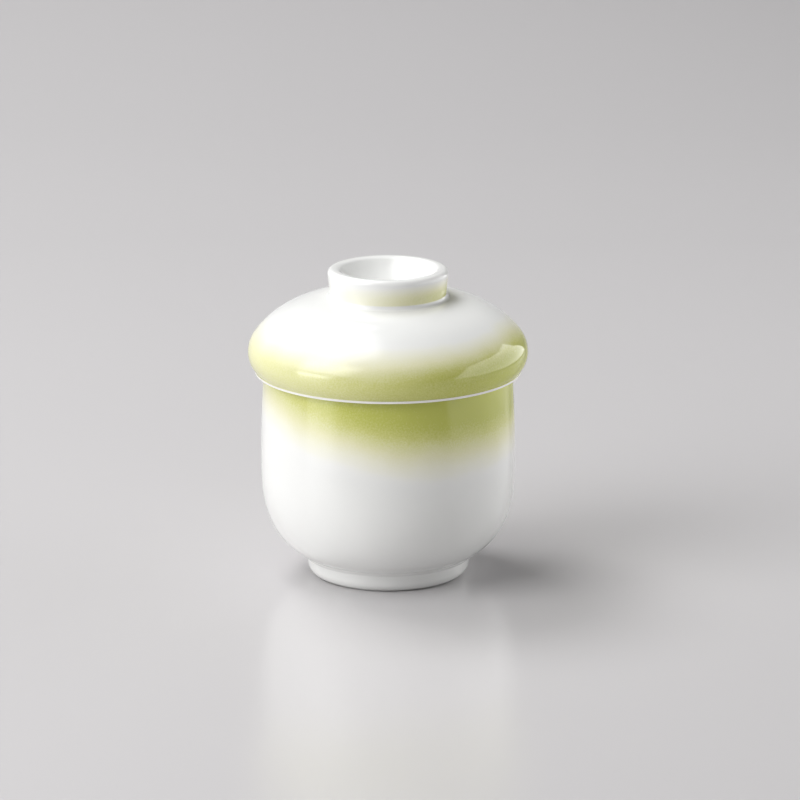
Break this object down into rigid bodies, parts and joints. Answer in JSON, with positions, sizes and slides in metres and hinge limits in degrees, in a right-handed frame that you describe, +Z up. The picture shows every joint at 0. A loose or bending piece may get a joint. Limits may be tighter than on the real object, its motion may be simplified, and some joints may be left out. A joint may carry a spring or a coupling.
{
  "type": "lidded custard cup",
  "caption": "Straight-sided porcelain cup on a foot ring with a domed cap lid and ring knob, for steaming and serving egg custard.",
  "frame": {"origin": "middle of the foot ring's standing face", "axes": "+Z up along the axis that both pieces are turned about; X and Y are free"},
  "size_m": [0.08, 0.08, 0.0897],
  "materials": {
    "cup_glaze": "white porcelain with a yellow-green band sprayed below the rim, clear gloss glaze, bare biscuit on the standing ring",
    "lid_glaze": "white porcelain with a yellow-green band sprayed on the shoulder and skirt, clear gloss glaze, bare white biscuit on the skirt's lower edge"
  },
  "bodies": {
    "cup": {"cup": "cup_glaze"},
    "lid": {"lid": "lid_glaze"}
  },
  "joints": [
    {"name": "lid_lift", "type": "slide", "parent": "cup", "child": "lid", "axis": [0, 0, 1], "range_m": [0, 0.06]}
  ]
}
